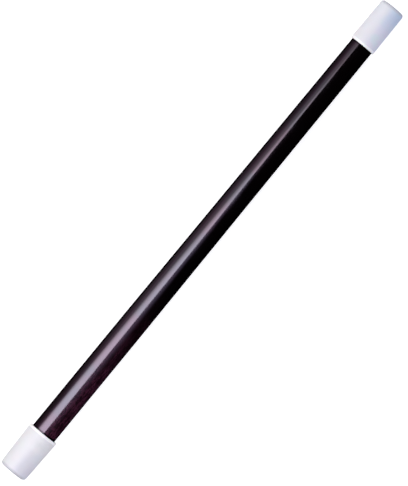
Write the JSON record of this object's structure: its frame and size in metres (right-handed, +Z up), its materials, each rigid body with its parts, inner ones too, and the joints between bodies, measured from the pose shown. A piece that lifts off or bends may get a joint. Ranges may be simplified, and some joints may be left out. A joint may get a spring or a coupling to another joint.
{
  "type": "magic wand",
  "caption": "Magician's wand: a straight black lacquered stick, parallel at the grip and tapering to the tip, with a white slip-on cap on each end.",
  "frame": {"origin": "on the stick's centre line, in the middle of the parallel grip length that the hand holds", "axes": "+X along the stick from the thick handle end to the thin tip, +Z up, +Y to the back"},
  "size_m": [0.356, 0.0196, 0.0196],
  "materials": {
    "lacquered_wood": "gloss",
    "cap_plastic": "satin",
    "plug_plastic": "satin",
    "screw_steel": "zinc plated",
    "insert_brass": "turned"
  },
  "bodies": {
    "root": {"shaft": "lacquered_wood", "handle_cap": "cap_plastic", "handle_plug": "plug_plastic", "handle_screw": "screw_steel", "handle_insert": "insert_brass", "tip_cap": "cap_plastic", "tip_plug": "plug_plastic", "tip_screw": "screw_steel", "tip_insert": "insert_brass"}
  },
  "joints": []
}
